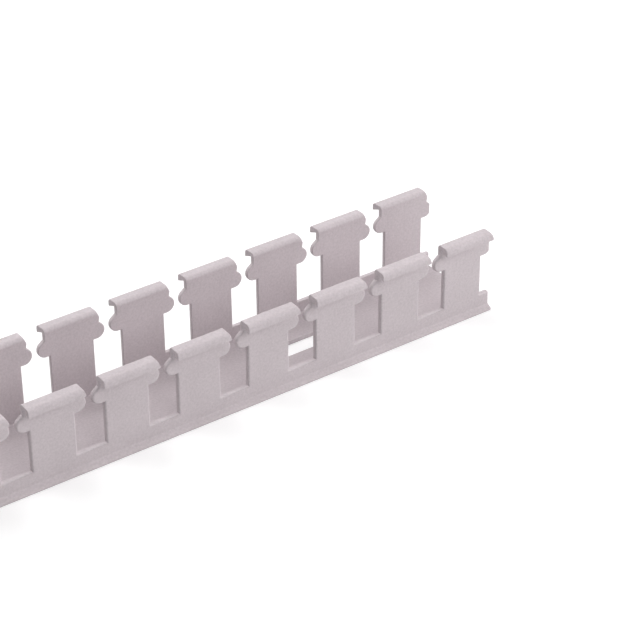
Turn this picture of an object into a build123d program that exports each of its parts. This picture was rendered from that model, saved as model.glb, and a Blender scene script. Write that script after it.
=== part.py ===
from build123d import *
import math
import os

# Slotted wire duct: one stock length of the open channel that a clip-on cover closes.
# It is a single piece of rigid PVC, extruded as a U with feet and outward lips, then punched:
# slots across both walls leave a row of eared fingers, and oblong holes go through the floor.
# Millimetres. +X runs along the duct and +Z is up. The origin is on the underside,
# at the middle of the length and of the width.

# The extruded section
LENGTH = 500.0         # stock length, twenty-five slot pitches
WIDTH = 26.0           # across the outer faces of the two walls
HEIGHT = 23.9          # underside to the top of the fingers
WALL = 1.3             # thickness of each wall
FLOOR = 1.2            # thickness of the floor
FOOT_REACH = 1.4       # how far a foot stands out from its wall
FOOT_TIP = 0.7         # height of a foot at its outer edge
FOOT_ROOT = 1.5        # height of a foot where it meets the wall
LIP_REACH = 2.5        # how far a lip stands out from its wall
LIP_ROOT = 1.3         # thickness of a lip where it leaves the wall
LIP_FALL = 0.2         # how much a lip's top drops towards its outer edge
LIP_HOOK = 1.1         # how much lower the lip's underside is at its outer edge
LIP_ROUND = 1.0        # radius of the lip's outer upper edge
TOP_CHAMFER = 1.0      # break on the inner top edge, where wires are pushed past

# The punched side slots
PITCH = 20.0           # from one slot to the next
SLOT = 8.0             # width of a slot between the bodies of two fingers
SLOT_SILL = 5.0        # height of the slot's lower edge
EAR_RADIUS = 2.15      # radius of the ears that hold wires in the slot
EAR_OFFSET = 1.05      # from the edge of the finger's body out to the centre of its ear
EAR_DROP = 5.5         # from the top of the fingers down to the ears' centres
EAR_SHOULDER = 36.0    # slope in degrees of the shoulder that joins an ear to the head
HEAD_STEP = 1.25       # how far the top of a finger's head stands out past its body on each side
NECK_STEP = 1.75       # the same for the neck over the ear, on the head's +X side
SWELL_STEP = 2.0       # the same where the head is widest, on its +X side
SWELL_DROP = 1.9       # how far below its top the head is widest, on its +X side
END_STUB = 2.75        # channel left beyond the last finger at the +X end

# The punched floor holes
HOLE_WIDTH = 5.5       # width of an oblong mounting hole
HOLE_LENGTH = 20.0     # its length from end to end
HOLE_STEP = 5          # slot pitches from one mounting hole to the next
FIRST_HOLE = 2         # fingers between the +X end and the finger that faces the first hole

# How far the punches run past the material on each side
CLEAR = 2.0

# Worked out from the sizes above
FINGER = PITCH - SLOT                               # width of a finger's body
OUTER = WIDTH / 2                                   # from the middle to a wall's outer face
INNER = OUTER - WALL                                # from the middle to a wall's inner face
LIP_EDGE = OUTER + LIP_REACH                        # from the middle to a lip's outer edge
FOOT_EDGE = OUTER + FOOT_REACH                      # from the middle to a foot's outer edge
FIRST_FINGER = LENGTH / 2 - END_STUB - FINGER / 2   # middle of the finger nearest the +X end
FINGERS = 1 + math.floor((LENGTH - END_STUB - FINGER) / PITCH)
EAR_HEIGHT = HEIGHT - EAR_DROP                      # height of the ears' centres
SWELL_HEIGHT = HEIGHT - SWELL_DROP                  # height at which the head is widest
PUNCH_TOP = HEIGHT + CLEAR                          # where the slot punches stop in the open air


def finger_x(index):
    """Middle of a finger, counted from 0 at the +X end."""
    return FIRST_FINGER - index * PITCH


def half_section():
    """The +Y half of the section, as points from the middle of the underside round to the floor's top."""
    lip_under = HEIGHT - LIP_ROOT
    return [
        (0, 0),
        (FOOT_EDGE, 0),
        (FOOT_EDGE, FOOT_TIP),
        (OUTER, FOOT_ROOT),
        (OUTER, lip_under),
        (LIP_EDGE, lip_under - LIP_HOOK),
        (LIP_EDGE, HEIGHT - LIP_FALL),
        (INNER + TOP_CHAMFER, HEIGHT),
        (INNER, HEIGHT - TOP_CHAMFER),
        (INNER, FLOOR),
        (0, FLOOR),
    ]


def channel():
    """The duct as it leaves the extruder: a plain U with a foot and a lip along each wall."""
    half = make_face(Polyline(half_section(), close=True))
    lip_corner = half.vertices().sort_by_distance((LIP_EDGE, HEIGHT - LIP_FALL, 0))[0]
    half = fillet(lip_corner, LIP_ROUND)
    section = half + mirror(half, about=Plane.YZ)
    across = Plane(origin=(-LENGTH / 2, 0, 0), x_dir=(0, 1, 0), z_dir=(1, 0, 0))
    return extrude(across * section, amount=LENGTH)


def half_slot(side):
    """A slot from its middle line to the finger on one side (+1 or -1): body edge, ear, shoulder, head.

    The finger on the -1 side shows the slot its +X edge, where the head swells out over a neck.
    """
    body = SLOT / 2
    head = body - HEAD_STEP
    ear = body - EAR_OFFSET
    slope = math.radians(EAR_SHOULDER)
    ear_foot = EAR_HEIGHT - EAR_RADIUS
    crest_x = ear - EAR_RADIUS * math.sin(slope)
    crest_z = EAR_HEIGHT + EAR_RADIUS * math.cos(slope)
    neck = head if side > 0 else body - NECK_STEP
    neck_z = crest_z + (neck - crest_x) * math.tan(slope)
    swell = [] if side > 0 else [(side * (body - SWELL_STEP), SWELL_HEIGHT), (side * head, HEIGHT)]
    below = Polyline(
        (0, PUNCH_TOP),
        (0, SLOT_SILL),
        (side * body, SLOT_SILL),
        (side * body, ear_foot),
        (side * ear, ear_foot),
    )
    round_ear = ThreePointArc(
        (side * ear, ear_foot),
        (side * (ear - EAR_RADIUS), EAR_HEIGHT),
        (side * crest_x, crest_z),
    )
    above = Polyline(
        (side * crest_x, crest_z),
        (side * neck, neck_z),
        *swell,
        (side * head, PUNCH_TOP),
        (0, PUNCH_TOP),
    )
    return make_face(below + round_ear + above)


def open_end(side):
    """One pitch of open space above the sill, outward from a slot's middle line."""
    height = PUNCH_TOP - SLOT_SILL
    return Pos(side * PITCH / 2, SLOT_SILL + height / 2) * Rectangle(PITCH, height)


def slot_punches():
    """The side slots, as prisms that run across both walls. Past the last fingers the ends stay open."""
    slot = half_slot(1) + half_slot(-1)
    outlines = [Pos(finger_x(i) + PITCH / 2, 0) * slot for i in range(1, FINGERS)]
    plus_end = finger_x(0) + PITCH / 2
    minus_end = finger_x(FINGERS - 1) - PITCH / 2
    outlines.append(Pos(plus_end, 0) * (half_slot(-1) + open_end(1)))
    outlines.append(Pos(minus_end, 0) * (half_slot(1) + open_end(-1)))
    reach = max(LIP_EDGE, FOOT_EDGE) + CLEAR
    beside = Plane(origin=(0, reach, 0), x_dir=(1, 0, 0), z_dir=(0, -1, 0))
    return [extrude(beside * outline, amount=2 * reach) for outline in outlines]


def hole_punches():
    """Oblong mounting holes along the middle of the floor, each facing a finger."""
    outline = SlotOverall(HOLE_LENGTH, HOLE_WIDTH)
    centres = [finger_x(i) for i in range(FIRST_HOLE, FINGERS, HOLE_STEP)]
    return [extrude(Pos(x, 0, -CLEAR) * outline, amount=FLOOR + 2 * CLEAR) for x in centres]


def duct_base():
    """The finished piece: the extruded channel less all its punchings."""
    duct = channel() - slot_punches() - hole_punches()
    duct.label = "duct_base"
    return duct


os.makedirs("parts", exist_ok=True)
export_step(duct_base(), "parts/duct_base.step")
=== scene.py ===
import math

import bmesh
import bpy
from mathutils import Euler, Matrix, Vector


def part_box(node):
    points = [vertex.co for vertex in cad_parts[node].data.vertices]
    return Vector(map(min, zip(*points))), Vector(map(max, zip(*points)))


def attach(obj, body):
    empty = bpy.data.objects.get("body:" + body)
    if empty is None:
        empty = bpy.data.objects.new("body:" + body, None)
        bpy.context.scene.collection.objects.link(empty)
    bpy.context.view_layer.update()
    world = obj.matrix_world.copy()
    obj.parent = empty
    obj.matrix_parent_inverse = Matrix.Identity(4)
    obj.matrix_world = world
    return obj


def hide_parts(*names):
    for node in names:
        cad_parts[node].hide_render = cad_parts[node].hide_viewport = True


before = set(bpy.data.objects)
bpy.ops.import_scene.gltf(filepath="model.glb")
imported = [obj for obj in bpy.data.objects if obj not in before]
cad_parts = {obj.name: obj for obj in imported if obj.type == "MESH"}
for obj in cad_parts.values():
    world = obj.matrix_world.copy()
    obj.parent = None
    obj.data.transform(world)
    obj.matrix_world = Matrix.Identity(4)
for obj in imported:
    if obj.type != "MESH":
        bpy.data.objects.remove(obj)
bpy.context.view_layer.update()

# Slotted wire duct in matte grey PVC, made as the factory makes it: a U section with feet and
# lips is drawn out along X, slots are punched across both walls and oblong holes through the
# floor, and the die and the punch leave its edges a little round.
# Shapes are worked out in millimetres and brought to metres once they are finished.

NODE = "duct_base"
BODY = "root"
MM = 0.001                # metres in a millimetre

# The extruded section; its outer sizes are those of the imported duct
lowest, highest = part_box(NODE)
LENGTH = (highest[0] - lowest[0]) / MM
LIP_EDGE = highest[1] / MM    # from the middle to a lip's outer edge
HEIGHT = highest[2] / MM
LIP_REACH = 2.5           # how far a lip stands out from its wall
LIP_ROOT = 1.3            # thickness of a lip where it leaves the wall
LIP_FALL = 0.2            # how much a lip's top drops towards its outer edge
LIP_HOOK = 1.1            # how much lower the lip's underside is at its outer edge
LIP_ROUND = 0.93          # distance over which the lip's outer upper edge is rounded
TOP_ROUND = 1.1           # the same for the inner top edge, where wires are pushed past
ROUND_STEPS = 7
WALL = 1.3
FLOOR = 1.2
FOOT_REACH = 1.4          # how far a foot stands out from its wall
FOOT_TIP = 0.7            # height of a foot at its outer edge
FOOT_ROOT = 1.5           # height of a foot where it meets the wall
OUTER = LIP_EDGE - LIP_REACH
INNER = OUTER - WALL

# The punched side slots
PITCH = 20.0
SLOT = 8.0                # width of a slot between the bodies of two fingers
FINGER = PITCH - SLOT
SILL = 5.0                # height of a slot's lower edge
EAR_RADIUS = 2.15
EAR_OFFSET = 1.05         # from the edge of the finger's body out to the centre of its ear
EAR_HEIGHT = 18.4         # height of the ears' centres
EAR_SHOULDER = 36.0       # slope in degrees of the shoulder over an ear
EAR_STEPS = 16
HEAD_STEP = 1.25          # how far the top of a head stands out past the finger's body
NECK_STEP = 1.75          # the same for the neck over the ear, on the head's +X side
SWELL_STEP = 2.0          # the same where the head is widest, on its +X side
SWELL_HEIGHT = 22.0       # height at which the head is widest, on its +X side
END_STUB = 2.75           # channel left beyond the last finger at the +X end
FIRST_FINGER = LENGTH / 2 - END_STUB - FINGER / 2
FINGERS = 25

# The punched floor holes
HOLE_WIDTH = 5.5
HOLE_LENGTH = 20.0
HOLE_STEP = 5             # slot pitches from one mounting hole to the next
FIRST_HOLE = 2            # fingers between the +X end and the finger that faces the first hole
HOLE_STEPS = 14

# The punches run past the material by this much
CLEAR = 2.0
PUNCH_TOP = HEIGHT + CLEAR
PUNCH_REACH = LIP_EDGE + CLEAR

# Edges
EDGE_ROUND = 0.2          # roundness that the die leaves on the edges
ROLL_OVER = 0.5           # the same where the punch drags the skin in, round each slot's outline
ROLL_OVER_TOP = 21.0      # height over the ears' shoulders, from which the rim is as the other edges
EDGE_STEPS = 3
SHARP = 32.0              # degrees; an edge that turns more than this is rounded
CREASE = 40.0             # degrees; an edge that still turns more afterwards shows as a crease

# What still counts as the same place or the same plane
SAME_POINT = 0.001        # corners closer together than this are one
ON_PLANE = 0.01           # how far off a plane a corner may lie and still count as on it
FLAT = 0.5                # degrees; faces that turn less than this are one flat side

# The colour of the PVC, between its darkest and its lightest grain
DARK_GREY = (0.514, 0.459, 0.478, 1)
LIGHT_GREY = (0.600, 0.539, 0.561, 1)
GRAIN_SHARE = 0.7         # how much of the variation is fine grain; the rest is clouding

# The studio, in metres and watts
FLOOR_HALF = 6.0          # from the middle of the floor to its edge
FLOOR_WHITE = 0.8         # how much light the floor gives back
FLOOR_LIFT = 0.3          # what it adds for the camera, so that it shows white outside the shadow
SHADOW_REACH = 0.35       # distance from the middle within which the duct's shadow falls
WHITE_REACH = 0.8         # distance beyond which the floor shows white like the room
ROOM_LEVEL = 0.26         # how much light the white room gives
LIT_SPOT = (0.15, 0, 0)   # where every lamp is aimed
LAMPS = (
    # name, place, width, power
    ("right_lamp", (1.15, -0.3, 0.28), 0.6, 6.6),
    ("front_lamp", (0.75, -0.85, 0.6), 0.6, 4.8),
    ("top_lamp", (0.15, 0.0, 1.2), 1.0, 4.3),
    ("back_lamp", (0.15, 1.0, 0.5), 0.6, 4.6),
    ("high_back_lamp", (-0.2, 0.7, 0.95), 0.8, 4.6),
)

# The camera, in millimetres and degrees
SENSOR = 36.0
LENS = 130.87
CAMERA_PLACE = (-85.05, -403.8, 315.2)
CAMERA_DIP = 31.847       # how far below level it looks
CAMERA_TURN = 35.774      # how far it is turned from +Y towards +X
CAMERA_ROLL = 0.399       # how far it is rolled clockwise
CAMERA_NEAR = 10.0        # nearest distance that it sees


def finger_x(index):
    """Middle of a finger, counted from 0 at the +X end."""
    return FIRST_FINGER - index * PITCH


def arc(centre, radius, start, stop, steps):
    """Points from start to stop degrees round a centre."""
    angles = [math.radians(start + (stop - start) * step / steps) for step in range(steps + 1)]
    return [(centre[0] + radius * math.cos(a), centre[1] + radius * math.sin(a)) for a in angles]


def half_section():
    """The +Y half of the section, from the middle of the underside round to the floor's top."""
    lip_under = HEIGHT - LIP_ROOT
    return [
        (0, 0),
        (OUTER + FOOT_REACH, 0),
        (OUTER + FOOT_REACH, FOOT_TIP),
        (OUTER, FOOT_ROOT),
        (OUTER, lip_under),
        (LIP_EDGE, lip_under - LIP_HOOK),
        (LIP_EDGE, HEIGHT - LIP_FALL),
        (INNER, HEIGHT),
        (INNER, FLOOR),
        (0, FLOOR),
    ]


def slot_edge(swollen):
    """One side of a slot, from the sill up: the body, ear, shoulder and head of the finger beside it."""
    body = SLOT / 2
    ear = body - EAR_OFFSET
    crest = 90 + EAR_SHOULDER
    ear_points = arc((ear, EAR_HEIGHT), EAR_RADIUS, -90, -360 + crest, EAR_STEPS)
    crest_x, crest_z = ear_points[-1]
    neck = body - (NECK_STEP if swollen else HEAD_STEP)
    neck_z = crest_z + (neck - crest_x) * math.tan(math.radians(EAR_SHOULDER))
    points = [(body, SILL), (body, EAR_HEIGHT - EAR_RADIUS)] + ear_points + [(neck, neck_z)]
    if swollen:
        points += [(body - SWELL_STEP, SWELL_HEIGHT), (body - HEAD_STEP, HEIGHT)]
    return points + [(body - HEAD_STEP, PUNCH_TOP)]


def slot_outline():
    """A whole slot. The finger on its -X side shows it a swollen +X edge."""
    return slot_edge(False) + [(-x, z) for x, z in reversed(slot_edge(True))]


def end_outline(side):
    """The open space past the last finger at one end: half a slot that runs on past the duct."""
    edge = slot_edge(swollen=side > 0)
    beyond = PITCH
    return [(-side * x, z) for x, z in edge] + [(side * beyond, PUNCH_TOP), (side * beyond, SILL)]


def hole_outline():
    """An oblong hole, straight along X with round ends."""
    radius = HOLE_WIDTH / 2
    middle = (HOLE_LENGTH - HOLE_WIDTH) / 2
    return arc((middle, 0), radius, -90, 90, HOLE_STEPS) + arc((-middle, 0), radius, 90, 270, HOLE_STEPS)


def draw_out(bm, face, travel):
    """Extrudes one face along travel into a closed solid."""
    drawn = bmesh.ops.extrude_face_region(bm, geom=[face])["geom"]
    moved = [part for part in drawn if isinstance(part, bmesh.types.BMVert)]
    bmesh.ops.translate(bm, vec=travel, verts=moved)


def punch_slot(bm, x, outline):
    """Adds a prism across both walls, with the outline's middle line at x."""
    corners = [bm.verts.new((x + along, -PUNCH_REACH, up)) for along, up in outline]
    draw_out(bm, bm.faces.new(corners), (0, 2 * PUNCH_REACH, 0))


def punch_hole(bm, x):
    """Adds an upright prism through the floor at x."""
    corners = [bm.verts.new((x + along, across, -CLEAR)) for along, across in hole_outline()]
    draw_out(bm, bm.faces.new(corners), (0, 0, FLOOR + 2 * CLEAR))


def made(name, bm):
    """Closes a bmesh into a new object, faces outwards."""
    bmesh.ops.recalc_face_normals(bm, faces=bm.faces)
    mesh = bpy.data.meshes.new(name)
    bm.to_mesh(mesh)
    bm.free()
    piece = bpy.data.objects.new(name, mesh)
    bpy.context.scene.collection.objects.link(piece)
    return piece


def nearest(corners, y, z):
    """The corner of the section that lies nearest to y and z."""
    return min(corners, key=lambda corner: (corner.co.y - y) ** 2 + (corner.co.z - z) ** 2)


def blank_channel():
    """The plain extrusion, before any punching."""
    bm = bmesh.new()
    corners = [bm.verts.new((-LENGTH / 2, y, z)) for y, z in half_section()]
    bm.faces.new(corners)
    lip_top = nearest(corners, LIP_EDGE, HEIGHT - LIP_FALL)
    wall_top = nearest(corners, INNER, HEIGHT)
    for corner, distance in ((lip_top, LIP_ROUND), (wall_top, TOP_ROUND)):
        bmesh.ops.bevel(
            bm, geom=[corner], offset=distance, offset_type="OFFSET", segments=ROUND_STEPS, profile=0.5,
            affect="VERTICES", material=-1,
        )
    half = bm.verts[:] + bm.edges[:] + bm.faces[:]
    bmesh.ops.mirror(bm, geom=half, axis="Y", merge_dist=SAME_POINT)
    bmesh.ops.recalc_face_normals(bm, faces=bm.faces)
    bmesh.ops.dissolve_faces(bm, faces=bm.faces[:])
    draw_out(bm, bm.faces[:][0], (LENGTH, 0, 0))
    return made("blank_channel", bm)


def punches():
    """Every punch of the duct, as closed prisms that don't touch."""
    bm = bmesh.new()
    for index in range(1, FINGERS):
        punch_slot(bm, finger_x(index) + PITCH / 2, slot_outline())
    punch_slot(bm, finger_x(0) + PITCH / 2, end_outline(1))
    punch_slot(bm, finger_x(FINGERS - 1) - PITCH / 2, end_outline(-1))
    for index in range(FIRST_HOLE, FINGERS, HOLE_STEP):
        punch_hole(bm, finger_x(index))
    return made("punches", bm)


def settled(piece):
    """The piece with its modifiers worked in, as a bmesh. The piece itself is used up."""
    seen = bpy.context.evaluated_depsgraph_get()
    mesh = bpy.data.meshes.new_from_object(piece.evaluated_get(seen))
    bm = bmesh.new()
    bm.from_mesh(mesh)
    bpy.data.objects.remove(piece)
    bpy.data.meshes.remove(mesh)
    return bm


def punched(blank, tools):
    """The blank less the tools, with flat sides merged. Both helpers are used up."""
    cut = blank.modifiers.new("punching", "BOOLEAN")
    cut.operation = "DIFFERENCE"
    cut.solver = "EXACT"
    cut.object = tools
    bm = settled(blank)
    bpy.data.objects.remove(tools)
    bmesh.ops.remove_doubles(bm, verts=bm.verts, dist=SAME_POINT)
    bmesh.ops.dissolve_limit(bm, angle_limit=math.radians(FLAT), verts=bm.verts, edges=bm.edges)
    return bm


def on_slot_outline(edge):
    """Whether an edge is a slot's rim on a wall's outer face, where the punch went in."""
    on_skin = all(abs(abs(corner.co.y) - OUTER) < ON_PLANE for corner in edge.verts)
    in_reach = all(SILL - ON_PLANE < corner.co.z < ROLL_OVER_TOP for corner in edge.verts)
    return on_skin and in_reach and edge.is_convex


def in_slot_corner(edge):
    """Whether an edge is an inside corner of a slot, which runs across the wall and is left sharp."""
    start, end = edge.verts
    return not edge.is_convex and abs(start.co.y - end.co.y) > WALL / 2


def eased(bm):
    """The shape with its sharp edges rounded, each by as much as its tool leaves."""
    weight = bm.edges.layers.float.new("bevel_weight_edge")
    sharp = math.radians(SHARP)
    for edge in bm.edges:
        if edge.is_manifold and edge.calc_face_angle() > sharp and not in_slot_corner(edge):
            edge[weight] = 1.0 if on_slot_outline(edge) else EDGE_ROUND / ROLL_OVER
    piece = made("duct", bm)
    ease = piece.modifiers.new("edge_rounding", "BEVEL")
    ease.limit_method = "WEIGHT"
    ease.offset_type = "OFFSET"
    ease.width = ROLL_OVER
    ease.segments = EDGE_STEPS
    ease.profile = 0.5
    ease.use_clamp_overlap = False
    return settled(piece)


def duct(pvc):
    """The duct itself: punched, with its edges rounded, in metres."""
    bm = eased(punched(blank_channel(), punches()))
    bmesh.ops.scale(bm, vec=(MM, MM, MM), verts=bm.verts)
    for face in bm.faces:
        face.smooth = True
    for edge in bm.edges:
        edge.smooth = edge.calc_face_angle() < math.radians(CREASE)
    piece = made("duct", bm)
    piece.data.materials.append(pvc)
    facing = piece.modifiers.new("even_facing", "WEIGHTED_NORMAL")
    facing.mode = "FACE_AREA"
    facing.weight = 100
    facing.keep_sharp = True
    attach(piece, BODY)
    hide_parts(NODE)


def shader(tree, kind, **values):
    """Adds a shader node and sets its input sockets by name, with _ for a space."""
    added = tree.nodes.new(kind)
    for name, value in values.items():
        added.inputs[name.replace("_", " ")].default_value = value
    return added


def new_tree(owner):
    """An empty node tree on a material or world, and its link function."""
    owner.use_nodes = True
    owner.node_tree.nodes.clear()
    return owner.node_tree, owner.node_tree.links.new


def grey_pvc():
    """Matte grey rigid PVC: faint clouding in the colour, die lines along X and a dry fine grain."""
    pvc = bpy.data.materials.new("grey_pvc")
    tree, link = new_tree(pvc)
    out = tree.nodes.new("ShaderNodeOutputMaterial")
    skin = shader(tree, "ShaderNodeBsdfPrincipled", Roughness=0.7, IOR=1.53, Specular_IOR_Level=0.2)
    link(skin.outputs["BSDF"], out.inputs["Surface"])

    place = tree.nodes.new("ShaderNodeTexCoord")
    along = tree.nodes.new("ShaderNodeMapping")
    along.inputs["Scale"].default_value = (0.02, 1.0, 1.0)
    link(place.outputs["Object"], along.inputs["Vector"])
    cloud = shader(tree, "ShaderNodeTexNoise", Scale=90.0, Detail=3.0, Roughness=0.55)
    grain = shader(tree, "ShaderNodeTexNoise", Scale=1700.0, Detail=2.0, Roughness=0.6)
    lines = shader(tree, "ShaderNodeTexNoise", Scale=1500.0, Detail=2.0, Roughness=0.5)
    link(place.outputs["Object"], cloud.inputs["Vector"])
    link(place.outputs["Object"], grain.inputs["Vector"])
    link(along.outputs["Vector"], lines.inputs["Vector"])

    mottle = shader(tree, "ShaderNodeMix", Factor=GRAIN_SHARE)
    link(cloud.outputs["Fac"], mottle.inputs["A"])
    link(grain.outputs["Fac"], mottle.inputs["B"])
    tint = tree.nodes.new("ShaderNodeValToRGB")
    dark, light = tint.color_ramp.elements
    dark.position = 0.35
    dark.color = DARK_GREY
    light.position = 0.65
    light.color = LIGHT_GREY
    link(mottle.outputs["Result"], tint.inputs["Fac"])
    link(tint.outputs["Color"], skin.inputs["Base Color"])

    die_lines = shader(tree, "ShaderNodeBump", Strength=0.25, Distance=0.00004)
    dry_grain = shader(tree, "ShaderNodeBump", Strength=0.6, Distance=0.00003)
    link(lines.outputs["Fac"], die_lines.inputs["Height"])
    link(grain.outputs["Fac"], dry_grain.inputs["Height"])
    link(die_lines.outputs["Normal"], dry_grain.inputs["Normal"])
    link(dry_grain.outputs["Normal"], skin.inputs["Normal"])
    return pvc


def seen_directly(tree, link):
    """1 for a ray from the camera, through glass or off a mirror, and otherwise 0."""
    rays = tree.nodes.new("ShaderNodeLightPath")
    either = tree.nodes.new("ShaderNodeMath")
    any_of = tree.nodes.new("ShaderNodeMath")
    either.operation = any_of.operation = "MAXIMUM"
    link(rays.outputs["Is Camera Ray"], either.inputs[0])
    link(rays.outputs["Is Glossy Ray"], either.inputs[1])
    link(either.outputs["Value"], any_of.inputs[0])
    link(rays.outputs["Is Transmission Ray"], any_of.inputs[1])
    return any_of.outputs["Value"]


def studio_floor():
    """A plain white floor that keeps the duct's soft shadow and runs into the white of the room."""
    bm = bmesh.new()
    bmesh.ops.create_grid(bm, x_segments=1, y_segments=1, size=FLOOR_HALF)
    ground = made("studio_floor", bm)
    white = bpy.data.materials.new("floor_white")
    tree, link = new_tree(white)
    out = tree.nodes.new("ShaderNodeOutputMaterial")
    paint = shader(tree, "ShaderNodeBsdfDiffuse", Color=(FLOOR_WHITE, FLOOR_WHITE, FLOOR_WHITE, 1))
    glow = tree.nodes.new("ShaderNodeEmission")
    both = tree.nodes.new("ShaderNodeAddShader")
    place = tree.nodes.new("ShaderNodeTexCoord")
    reach = tree.nodes.new("ShaderNodeVectorMath")
    reach.operation = "LENGTH"
    rise = shader(
        tree, "ShaderNodeMapRange",
        From_Min=SHADOW_REACH, From_Max=WHITE_REACH, To_Min=FLOOR_LIFT, To_Max=1.0,
    )
    lift = tree.nodes.new("ShaderNodeMath")
    lift.operation = "MULTIPLY"
    link(place.outputs["Object"], reach.inputs[0])
    link(reach.outputs["Value"], rise.inputs["Value"])
    link(seen_directly(tree, link), lift.inputs[0])
    link(rise.outputs["Result"], lift.inputs[1])
    link(lift.outputs["Value"], glow.inputs["Strength"])
    link(paint.outputs["BSDF"], both.inputs[0])
    link(glow.outputs["Emission"], both.inputs[1])
    link(both.outputs["Shader"], out.inputs["Surface"])
    ground.data.materials.append(white)


def surroundings(level):
    """A white room: it lights the duct at this level, and shows plain white."""
    room = bpy.data.worlds.new("white_room")
    bpy.context.scene.world = room
    tree, link = new_tree(room)
    out = tree.nodes.new("ShaderNodeOutputWorld")
    light = shader(tree, "ShaderNodeBackground", Strength=level)
    white = shader(tree, "ShaderNodeBackground", Strength=1.0)
    for glow in (light, white):
        glow.inputs["Color"].default_value = (1, 1, 1, 1)
    mixed = tree.nodes.new("ShaderNodeMixShader")
    link(seen_directly(tree, link), mixed.inputs["Fac"])
    link(light.outputs["Background"], mixed.inputs[1])
    link(white.outputs["Background"], mixed.inputs[2])
    link(mixed.outputs["Shader"], out.inputs["Surface"])


def softbox(name, place, width, power):
    """A square lamp at place, turned to face the lit spot."""
    lamp = bpy.data.lights.new(name, "AREA")
    lamp.shape = "SQUARE"
    lamp.size = width
    lamp.energy = power
    holder = bpy.data.objects.new(name, lamp)
    bpy.context.scene.collection.objects.link(holder)
    holder.location = place
    holder.rotation_euler = (Vector(LIT_SPOT) - Vector(place)).to_track_quat("-Z", "Y").to_euler()


def camera():
    """The photograph's viewpoint: a long lens, from above the -Y side, looking towards the +X end."""
    lens = bpy.data.cameras.new("camera")
    lens.sensor_width = SENSOR
    lens.lens = LENS
    lens.clip_start = CAMERA_NEAR * MM
    holder = bpy.data.objects.new("camera", lens)
    bpy.context.scene.collection.objects.link(holder)
    aim = Euler((math.radians(90 - CAMERA_DIP), 0, -math.radians(CAMERA_TURN))).to_matrix()
    tilt = Matrix.Rotation(-math.radians(CAMERA_ROLL), 3, "Z")
    holder.rotation_euler = (aim @ tilt).to_euler()
    holder.location = Vector(CAMERA_PLACE) * MM
    bpy.context.scene.camera = holder


duct(grey_pvc())
studio_floor()
surroundings(ROOM_LEVEL)
for name, place, width, power in LAMPS:
    softbox(name, place, width, power)
camera()
bpy.context.scene.view_settings.view_transform = "Standard"
